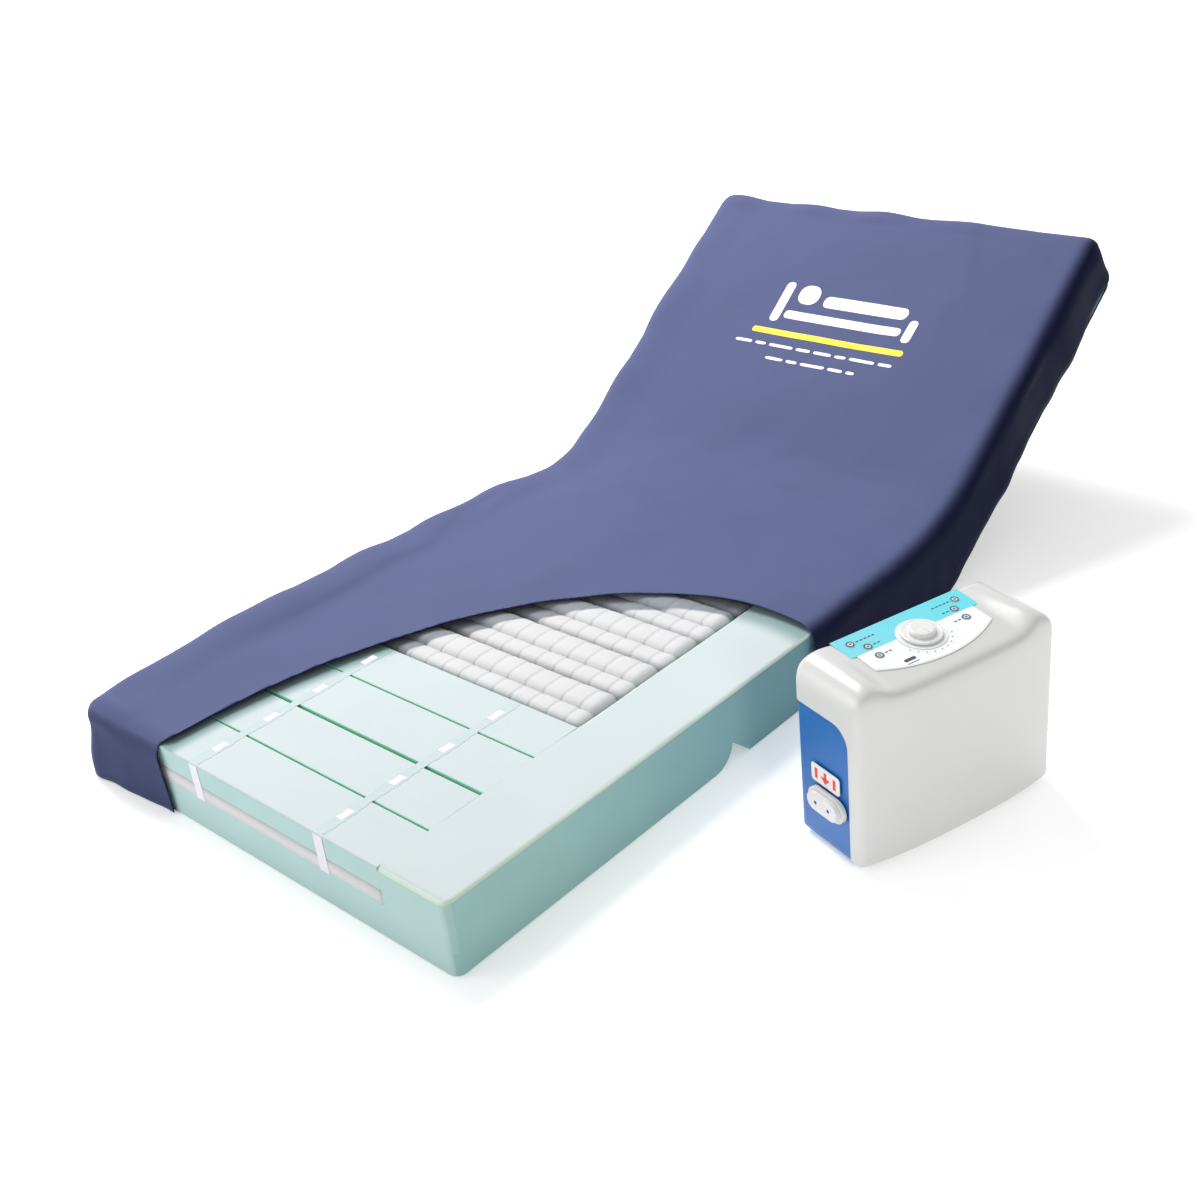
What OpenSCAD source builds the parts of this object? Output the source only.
// Pressure relief mattress: foam core, alternating air cells and a wrap-round cover that is cut open
// at the foot, with its air pump standing beside it. Millimetres.
// +Y runs to the head, +X to the pump side, +Z up. The underside rests at z = 0.

/* [Mattress] */
// Width of the foam core
foam_w = 880; // [860:5:900]
// Length of the leg and seat section, foot to hip crease
seat_len = 1255; // [1250:1:1262]
// Length of the back section, hip crease to head
back_len = 725; // [715:5:745]
// Thickness of the foam core
foam_t = 130; // [126:1:134]
// How far the back section is raised, in degrees
back_angle = 34.86; // [30:0.01:40]
// Sharpest angle that the hip crease allows, in degrees
hip_max = 60; // [58:1:62]
// Height of the floor that the air cells and the heel pad lie on
core_floor = 64; // [62:1:66]
// Length of the slit heel pad
heel_len = 408; // [404:1:410]
// Distance from one air cell to the next
cell_pitch = 100.8; // [100:0.1:101]

/* [Cover] */
// Gap between the foam and the cover
cover_gap = 8; // [7.5:0.5:10]
// Height of the hem above the floor
hem_z = 3; // [2:0.5:6]
// How far the cut-away reaches from the foot
cut_len = 832; // [780:2:860]

/* [Pump] */
// Length of the pump
pump_l = 369; // [365:1:372]
// Depth of the pump
pump_d = 152; // [150:1:156]
// Height of the pump at its two end humps
pump_h = 300; // [299:1:302]
// Place of the pump's outer foot corner across the bed
pump_x = 764; // [740:2:820]
// How far the pump is turned from the mattress, in degrees
pump_yaw = 16.6; // [0:0.1:20]

/* [Hidden] */

// Mattress, worked out
foot_y = -(seat_len + back_len) / 2;
hinge_y = foot_y + seat_len;
head_y = hinge_y + back_len;
half_w = foam_w / 2;
base_t = 1.2;
corner_r = 25;
pad_half = 301.5;
well_near = 302;
well_far = -322;
head_block = 76;
hip_gap = 0.5;

// Knee relief in the underside, measured from the foot
knee_start = 559;
knee_top = 604;
knee_end = 648;
knee_r = 45;
knee_h = 40;

// Heel pad
layer_top = 90;
slit_at = [98, 201, 310];
slit_w = [3, 6, 3];
slit_depth = 25;
strap_at = [-135, 172];
strap_w = 16;
strap_t = 1.2;

// Air cells: a low lobe towards the foot and a higher, wider one behind it
cell_half = 298;
cell_z = core_floor + base_t;
cell_start = foot_y + heel_len + 4;
cell_w = cell_pitch - 3;
hip_cell_w = 90;
low_w = 40;
low_h = 66;
high_h = foam_t + 7 - cell_z;
line_x = -311;
line_r = 6;
line_z = [core_floor + 11, core_floor + 29];
stub_r = 4;

// Port for the two air hoses, on the far side
port_y = foot_y + 440;
port_gap = 26;
port_hole_r = 3;

// Cover
skin = 1.2;
cut_x = 345;
cut_half = 557;
window_w = 70;
window_h = 46;

// Zip
zip_x = -half_w - 4;
zip_z = 16;
zip_h = 12;

// Pump, worked out
pump_y = foot_y + 482;
pump_z = 3.2;
bulge = 7;
bulge_r = 2500;
wall = 3;
back_inset = 1.5;
split_x = -33;
split_z = 230;
split_r = 32;
panel_tilt = 6;
panel_x = -88.5;
panel_z = 288;
valley_half = 121;
dial_r = 34;
shaft_r = 4;
key_r = 6.6;
keys_at = [[-38, -97], [-20, -80], [5, -80], [-38, 97], [-20, 80], [5, 80]];
plug_x = -76;
plug_z = 88;
bore_gap = 28;
bore_r = 3;
tag_z = 128;
inlet_z = 50;
switch_z = 92;
switch_r = 10;
hook_y = [95, 274];
hook_z = 150;
pin_r = 2.5;

$fn = 48;

function hip_off(z) = 2 + z * tan(hip_max / 2);
function rest_off(z) = z * tan(back_angle / 2);

// ---- helpers ----

// Extrudes an outline of (y, z) from x0 to x1
module along_x(x0, x1) {
    rotate([90, 0, 90]) translate([0, 0, x0]) linear_extrude(x1 - x0) children();
}

// Extrudes an outline of (x, z) from y0 to y1
module along_y(y0, y1) {
    translate([0, y1, 0]) rotate([90, 0, 0]) linear_extrude(y1 - y0) children();
}

module block(x0, x1, y0, y1, z0, z1) {
    translate([x0, y0, z0]) cube([x1 - x0, y1 - y0, z1 - z0]);
}

module rounded_rect(w, h, r) {
    translate([r, 0]) square([w - 2 * r, h]);
    translate([0, r]) square([w, h - 2 * r]);
    for (x = [r, w - r], y = [r, h - r]) translate([x, y]) circle(r);
}

module oval(w, h) {
    translate([-w / 2, -h / 2]) rounded_rect(w, h, h / 2 - 0.01);
}

module back_frame() {
    translate([0, hinge_y, 0]) rotate([back_angle, 0, 0]) translate([0, -hinge_y, 0]) children();
}

// The part of a full-length flat form that belongs to the leg and seat section
module seat_part() {
    intersection() {
        children();
        along_x(-600, 600) polygon([
            [foot_y - 50, -5], [hinge_y - 2, -5], [hinge_y - 2, 0],
            [hinge_y - hip_off(200), 200], [foot_y - 50, 200]
        ]);
    }
}

// The part that belongs to the back section, raised
module back_part() {
    back_frame() intersection() {
        children();
        along_x(-600, 600) polygon([
            [head_y + 50, -5], [hinge_y + 2, -5], [hinge_y + 2, 0],
            [hinge_y + hip_off(200), 200], [head_y + 50, 200]
        ]);
    }
}

// A height z on the seat side, in the crease and on the back side of the hip piece
function hip_seat(z) = [hinge_y - hip_off(z) + hip_gap, z];
function hip_mid(z) = [hinge_y - rest_off(z), z];
function hip_back(z) = let(d = hip_off(z) - hip_gap) [
    hinge_y + d * cos(back_angle) - z * sin(back_angle),
    d * sin(back_angle) + z * cos(back_angle)
];

// Layer z0 to z1 of the piece between the two sections, which the hip crease squeezes,
// drawn out by e at its two faces
module hip_layer(x0, x1, z0, z1, e) {
    d = [e * cos(back_angle), e * sin(back_angle)];
    along_x(x0, x1) polygon([
        hip_seat(z0) - [e, 0], hip_mid(z0), hip_back(z0) + d,
        hip_back(z1) + d, hip_mid(z1), hip_seat(z1) - [e, 0]
    ]);
}

// ---- foam core ----

module core_form() {
    difference() {
        translate([-half_w, foot_y, base_t]) linear_extrude(foam_t - base_t)
            rounded_rect(foam_w, head_y - foot_y, corner_r);
        block(well_far, well_near, foot_y - 1, head_y - head_block, core_floor, foam_t + 1);
        along_x(-half_w - 1, half_w + 1) translate([foot_y, 0]) difference() {
            polygon([
                [knee_start, -1], [knee_end + 1, -1], [knee_end, base_t],
                [knee_top, knee_h], [knee_start, knee_h]
            ]);
            translate([knee_start, base_t + knee_r]) circle(knee_r);
        }
        for (k = [0, 1]) translate([-half_w - 1, port_y + (k - 0.5) * port_gap, line_z[k]])
            rotate([0, 90, 0]) cylinder(r = line_r + 0.5, h = half_w + well_far + 2);
    }
}

module core_seat() {
    color("PaleTurquoise") seat_part() core_form();
}

module core_hip() {
    color("MediumAquamarine") difference() {
        hip_layer(-half_w, half_w, base_t, foam_t, 0);
        hip_layer(well_far, well_near, core_floor, foam_t + 2, 20);
    }
}

module core_back() {
    color("PaleTurquoise") back_part() core_form();
}

// ---- heel pad ----

module heel_foam() {
    color("LightCyan") difference() {
        block(-pad_half, pad_half, foot_y, foot_y + heel_len, layer_top, foam_t);
        for (i = [0 : len(slit_at) - 1]) translate([0, foot_y + slit_at[i] - slit_w[i] / 2, 0])
            block(-pad_half - 1, pad_half + 1, 0, slit_w[i], foam_t - slit_depth, foam_t + 1);
    }
}

module heel_layer() {
    color("Silver")
        block(-pad_half, pad_half, foot_y, foot_y + heel_len, core_floor + 0.2, layer_top - 0.2);
}

module heel_straps() {
    color("White") for (x = strap_at) translate([x - strap_w / 2, foot_y - strap_t - 0.2, 0]) {
        block(0, strap_w, 0, strap_t, core_floor - 2, foam_t + 0.2 + strap_t);
        block(0, strap_w, 0, heel_len - 4, foam_t + 0.2, foam_t + 0.2 + strap_t);
    }
}

// ---- air cells ----

// Cell number n from the foot, w wide, with its stub to one of the two air lines
module cell(y, n, w) {
    color(n % 2 == 0 ? "WhiteSmoke" : "Gainsboro") translate([0, y, 0]) {
        along_x(-cell_half, cell_half) {
            translate([0, cell_z]) rounded_rect(low_w, low_h, 16);
            translate([low_w - 6, cell_z]) rounded_rect(w - low_w + 6, high_h, 20);
        }
        translate([line_x + line_r + 0.2, low_w / 2, line_z[n % 2]]) rotate([0, 90, 0])
            cylinder(r = stub_r, h = -cell_half - line_x - line_r + 1);
    }
}

module seat_cell(n) {
    cell(cell_start + (n - 1) * cell_pitch, n, cell_w);
}

module back_cell(n) {
    back_frame() cell(hinge_y + 145 + (n - 10) * cell_pitch, n, cell_w);
}

module cell_08() {
    cell(hinge_y - 47 - hip_cell_w, 8, hip_cell_w);
}

module cell_09() {
    back_frame() cell(hinge_y + 47, 9, hip_cell_w);
}

module cell_base_seat() {
    color("LightGray") block(-cell_half, cell_half, cell_start,
        hinge_y - hip_off(core_floor + 1) - 1, core_floor, core_floor + 1);
}

module cell_base_back() {
    color("LightGray") back_frame() block(-cell_half, cell_half,
        hinge_y + hip_off(core_floor + 1) + 1, head_y - head_block - 3, core_floor, core_floor + 1);
}

module air_line(y0, y1) {
    for (z = line_z) translate([line_x, y0, z]) rotate([-90, 0, 0]) difference() {
        cylinder(r = line_r, h = y1 - y0);
        translate([0, 0, -1]) cylinder(r = line_r - 2, h = y1 - y0 + 2);
    }
}

module air_lines_seat() {
    color("SlateGray") air_line(cell_start + 4, hinge_y - hip_off(line_z[1] + line_r) - 1);
}

module air_lines_back() {
    color("SlateGray") back_frame()
        air_line(hinge_y + hip_off(line_z[1] + line_r) + 1, head_y - head_block - 8);
}

module hose_port() {
    color("DimGray") difference() {
        union() {
            block(-half_w - 5, -half_w - 0.2, port_y - 30, port_y + 30,
                line_z[0] - 14, line_z[1] + 14);
            for (k = [0, 1]) translate([-half_w - 1, port_y + (k - 0.5) * port_gap, line_z[k]])
                rotate([0, 90, 0]) cylinder(r = line_r, h = half_w + line_x - line_r + 0.6);
        }
        for (k = [0, 1]) translate([-half_w - 6, port_y + (k - 0.5) * port_gap, line_z[k]])
            rotate([0, 90, 0]) {
                cylinder(r = port_hole_r, h = 8);
                translate([0, 0, 5.8]) cylinder(r = port_hole_r + 0.6, h = half_w + line_x);
            }
    }
}

// ---- cover ----

// What the cut-away takes out of the cover, seen from above
module cut_away() {
    translate([0, foot_y, -5]) linear_extrude(250) polygon(concat(
        [for (a = [180 : -5 : 0]) [cut_x + cut_half * cos(a), cut_len * sin(a)]],
        [[cut_x + cut_half, -60], [cut_x - cut_half, -60]]
    ));
}

module cover_solid(gap, z0, z1) {
    translate([-half_w - gap, foot_y - gap, z0]) linear_extrude(z1 - z0)
        rounded_rect(foam_w + 2 * gap, head_y - foot_y + 2 * gap, corner_r + gap);
}

module cover_form() {
    difference() {
        cover_solid(cover_gap + skin, hem_z, foam_t + cover_gap + skin);
        cover_solid(cover_gap, hem_z - 1, foam_t + cover_gap);
        cut_away();
        block(-half_w - cover_gap - 5, -half_w - 2, port_y - window_w / 2, port_y + window_w / 2,
            core_floor + 20 - window_h / 2, core_floor + 20 + window_h / 2);
    }
}

module top_cover_seat() {
    color("SlateBlue") seat_part() cover_form();
}

module top_cover_hip() {
    color("DarkSlateBlue") difference() {
        hip_layer(-half_w - cover_gap - skin, half_w + cover_gap + skin,
            hem_z, foam_t + cover_gap + skin, 0);
        hip_layer(-half_w - cover_gap, half_w + cover_gap, hem_z - 2, foam_t + cover_gap, 20);
    }
}

module top_cover_back() {
    color("SlateBlue") back_part() cover_form();
}

module base_form() {
    difference() {
        cover_solid(cover_gap - 2, 0, base_t - 0.1);
        cut_away();
    }
}

module base_cover_seat() {
    color("DimGray") seat_part() base_form();
}

module base_cover_back() {
    color("DimGray") back_part() base_form();
}

module zip_tape() {
    color("Black") block(zip_x, zip_x + 3, foot_y + 30, hinge_y - 30, zip_z, zip_z + zip_h);
}

module zip_slider() {
    color("Gray") {
        block(zip_x - 2.6, zip_x - 0.2, foot_y + 40, foot_y + 52, zip_z + 1, zip_z + zip_h - 1);
        block(zip_x - 2.6, zip_x - 1, foot_y + 51, foot_y + 76, zip_z + 3, zip_z + zip_h - 3);
    }
}

// ---- pump housing ----

module pump_frame() {
    translate([pump_x, pump_y, 0]) rotate([0, 0, -pump_yaw]) children();
}

// The control panel's plane: x towards the front, z out of the panel
module panel_frame() {
    translate([panel_x, pump_l / 2, panel_z]) rotate([0, panel_tilt, 0]) children();
}

module pump_plan(g) {
    intersection() {
        translate([bulge - bulge_r, pump_l / 2]) circle(bulge_r - g, $fn = 720);
        translate([g - pump_d, g]) union() {
            rounded_rect(pump_d + bulge - 2 * g, pump_l - 2 * g, 38 - g);
            rounded_rect(80, pump_l - 2 * g, 14 - g);
        }
    }
}

module pump_side(g) {
    translate([g - pump_d, pump_z + g]) {
        rounded_rect(pump_d + bulge - 2 * g, pump_h - pump_z - 2 * g, 50 - g);
        rounded_rect(80, pump_h - pump_z - 2 * g, 18 - g);
        rounded_rect(pump_d + bulge - 2 * g, 120, 6 - g);
    }
}

module pump_end(g) {
    translate([g, pump_z + g]) {
        rounded_rect(pump_l - 2 * g, pump_h - pump_z - 2 * g, 45 - g);
        rounded_rect(pump_l - 2 * g, 150, 6 - g);
    }
}

module valley(g) {
    panel_frame() along_x(-150, 150) polygon([
        [-valley_half - g / 2, -g], [valley_half + g / 2, -g],
        [valley_half + 57, 40], [-valley_half - 57, 40]
    ]);
}

// The pump's outer form, drawn in by g all round
module pump_form(g) {
    difference() {
        intersection() {
            linear_extrude(pump_h + 20) pump_plan(g);
            along_y(-20, pump_l + 20) pump_side(g);
            along_x(-pump_d - 20, 40) pump_end(g);
        }
        valley(g);
    }
}

// The lower rear region that the back housing fills
module rear_region(g) {
    along_y(-20, pump_l + 20) {
        translate([-pump_d - 20, -20]) square([pump_d + 20 + split_x - g, split_z + 20 - split_r]);
        translate([-pump_d - 20, -20])
            square([pump_d + 20 + split_x - split_r, split_z + 20 - g]);
        translate([split_x - split_r, split_z - split_r]) circle(split_r - g);
    }
}

module panel_holes(r_key) {
    panel_frame() {
        translate([0, 0, -20]) cylinder(r = shaft_r + 0.08, h = 40);
        for (p = keys_at) translate([p[0], p[1], 0.05]) cylinder(r = r_key, h = 10);
    }
}

module pump_shell() {
    color("White") pump_frame() difference() {
        pump_form(0);
        pump_form(wall);
        rear_region(0);
        panel_holes(0.5);
    }
}

module pump_back() {
    color("RoyalBlue") pump_frame() difference() {
        intersection() {
            pump_form(back_inset);
            rear_region(0.3);
        }
        pump_form(back_inset + wall);
        block(plug_x - 33, plug_x + 33, -5, 10, plug_z - 13, plug_z + 13);
        block(plug_x - 16.3, plug_x + 16.3, pump_l - 10, pump_l + 5, inlet_z - 13.3, inlet_z + 13.3);
        block(plug_x - 7.5, plug_x + 7.5, pump_l - 10, pump_l + 5,
            switch_z - switch_r - 0.6, switch_z + switch_r + 0.6);
        translate([-pump_d - 5, 185, 90]) rotate([0, 90, 0]) cylinder(r = 20.4, h = 12);
        for (y = [30, pump_l - 30], z = [24, 205]) translate([-pump_d - 5, y, z])
            rotate([0, 90, 0]) cylinder(r = 1.6, h = 12);
    }
}

module pump_feet() {
    color("Black") pump_frame() for (x = [-128, -30], y = [36, pump_l - 36]) translate([x, y, 0])
        cylinder(r = 9, h = pump_z);
}

// ---- control panel ----

module panel_screen() {
    color("Turquoise") pump_frame() difference() {
        panel_frame() block(-57.5, -11.2, -118, 118, 0.1, 1.3);
        panel_holes(key_r + 0.4);
        panel_frame() cylinder(r = dial_r + 3.2, h = 10);
    }
}

module panel_plate() {
    color("Snow") pump_frame() difference() {
        panel_frame() translate([0, 0, 0.1]) linear_extrude(1.2) intersection() {
            translate([-11, -107]) square([70, 214]);
            translate([57.5 - 214, 0]) circle(214, $fn = 180);
        }
        panel_holes(key_r + 0.4);
        panel_frame() cylinder(r = dial_r + 3.2, h = 10);
    }
}

module dial_bezel() {
    color("LightGray") pump_frame() panel_frame() translate([0, 0, 0.1]) difference() {
        cylinder(r = dial_r + 3, h = 2.2);
        translate([0, 0, -1]) cylinder(r = dial_r - 6, h = 4);
    }
}

module dial_knob() {
    color("GhostWhite") pump_frame() panel_frame() {
        translate([0, 0, 2.6]) rotate_extrude() {
            square([dial_r - 5.5, 4]);
            translate([dial_r - 5.5, 2.2]) circle(2.1);
        }
        translate([0, 0, 5]) rotate_extrude() {
            square([20, 5]);
            square([16, 9]);
            translate([16, 5]) circle(4);
        }
        translate([0, 0, -14]) cylinder(r = shaft_r, h = 18);
        translate([10, 0, 14.3]) cube([8, 2, 1.2], center = true);
    }
}

module key(i) {
    color("DarkSlateGray") pump_frame() panel_frame() translate([keys_at[i][0], keys_at[i][1], 0.9])
        cylinder(r = key_r, h = 1.2);
}

// ---- pump ends and back ----

module air_socket() {
    color("White") pump_frame() difference() {
        along_y(-5, back_inset - 0.1) translate([plug_x, plug_z]) oval(78, 38);
        along_y(-6, 5) translate([plug_x, plug_z]) oval(64, 26);
    }
}

module cpr_plug() {
    color("Snow") pump_frame() difference() {
        union() {
            along_y(-12, -5.3) translate([plug_x, plug_z]) oval(66, 29);
            along_y(-5.4, 0) translate([plug_x, plug_z]) oval(60, 23);
        }
        for (s = [-1, 1]) translate([plug_x + s * bore_gap / 2, 1, plug_z]) rotate([90, 0, 0])
            cylinder(r = bore_r, h = 16);
    }
}

module cpr_tag() {
    color("White") pump_frame() along_y(0.3, back_inset - 0.1)
        translate([plug_x - 36, tag_z - 15]) rounded_rect(62, 30, 5);
}

module mains_inlet() {
    color("Black") pump_frame() difference() {
        along_y(pump_l - 20, pump_l + 0.8)
            translate([plug_x - 16, inlet_z - 13]) rounded_rect(32, 26, 3);
        block(plug_x - 12, plug_x + 12, pump_l - 14, pump_l + 2, inlet_z - 8, inlet_z + 8);
    }
}

module power_switch() {
    color("ForestGreen") pump_frame() translate([plug_x, pump_l - 9, switch_z]) rotate([-8, 0, 0])
        intersection() {
            rotate([0, 90, 0]) cylinder(r = switch_r, h = 14, center = true);
            along_x(-8, 8) polygon([[-7, -12], [6, -12], [9.6, 0], [6, 12], [-7, 12]]);
        }
}

module air_filter() {
    color("Gray") pump_frame() translate([-pump_d + 0.3, 185, 90]) rotate([0, 90, 0]) difference() {
        cylinder(r = 20, h = 6);
        for (a = [-12 : 6 : 12]) translate([a - 1, -14, -1]) cube([2, 28, 3]);
    }
}

module hook_brackets() {
    color("RoyalBlue") pump_frame() for (y = hook_y) translate([-pump_d + back_inset, y, hook_z]) {
        for (s = [-1, 1]) translate([0, s * 18, 0]) {
            block(-8, -0.2, -4, 4, -7.6, 7.6);
            block(-2.4, -0.2, -4, 4, -12, 12);
            translate([-8, -4, 0]) rotate([-90, 0, 0]) cylinder(r = 7.6, h = 8);
        }
        translate([-8, -20, 0]) rotate([-90, 0, 0]) cylinder(r = pin_r, h = 40);
    }
}

// A bed-rail hook, folded up against the pump's back
module hook(y) {
    color("WhiteSmoke") pump_frame() translate([-pump_d + back_inset - 8, y, hook_z]) difference() {
        union() {
            translate([0, -13, 0]) rotate([-90, 0, 0]) cylinder(r = 7, h = 26);
            block(-3, 3, -13, 13, 0, 74);
            block(-32, 3, -13, 13, 68, 74);
            block(-32, -27, -13, 13, 50, 74);
        }
        translate([0, -14, 0]) rotate([-90, 0, 0]) cylinder(r = pin_r + 0.06, h = 28);
    }
}

module hook_foot() {
    hook(hook_y[0]);
}

module hook_head() {
    hook(hook_y[1]);
}

module pump_screws() {
    color("DarkGray") pump_frame() for (y = [30, pump_l - 30], z = [24, 205])
        translate([-pump_d + back_inset, y, z]) rotate([0, 90, 0]) {
            translate([0, 0, -2.2]) cylinder(r = 3.4, h = 2);
            translate([0, 0, -1]) cylinder(r = 1.5, h = 9);
        }
}

// ---- inside the pump ----

module compressor() {
    color("SteelBlue") pump_frame() {
        block(-128, -42, 80, 190, 14, 70);
        translate([-85, 80, 84]) rotate([-90, 0, 0]) cylinder(r = 34, h = 110);
    }
}

module air_valve() {
    color("Tan") pump_frame() {
        translate([-85, 42, 112]) cylinder(r = 24, h = 40);
        translate([-85, 42, 151]) cylinder(r = 15, h = 24);
    }
}

module circuit_board() {
    color("SeaGreen") pump_frame() panel_frame() block(-48, 40, -105, 105, -30, -28.4);
}

module power_supply() {
    color("DarkOrange") pump_frame() block(-128, -48, 215, 300, 14, 66);
}

// ---- the nodes ----

core_seat();
heel_foam();
heel_layer();
heel_straps();
cell_base_seat();
seat_cell(1);  // cell_01
seat_cell(2);  // cell_02
seat_cell(3);  // cell_03
seat_cell(4);  // cell_04
seat_cell(5);  // cell_05
seat_cell(6);  // cell_06
seat_cell(7);  // cell_07
air_lines_seat();
hose_port();
base_cover_seat();
top_cover_seat();
zip_tape();
zip_slider();
core_hip();
cell_08();
cell_09();
top_cover_hip();
core_back();
back_cell(10);  // cell_10
back_cell(11);  // cell_11
back_cell(12);  // cell_12
back_cell(13);  // cell_13
back_cell(14);  // cell_14
cell_base_back();
air_lines_back();
base_cover_back();
top_cover_back();
pump_shell();
pump_back();
pump_feet();
panel_screen();
panel_plate();
dial_bezel();
dial_knob();
key(0);  // key_1
key(1);  // key_2
key(2);  // key_3
key(3);  // key_4
key(4);  // key_5
key(5);  // key_6
air_socket();
cpr_plug();
cpr_tag();
compressor();
air_valve();
circuit_board();
power_supply();
air_filter();
mains_inlet();
power_switch();
hook_brackets();
hook_foot();
hook_head();
pump_screws();
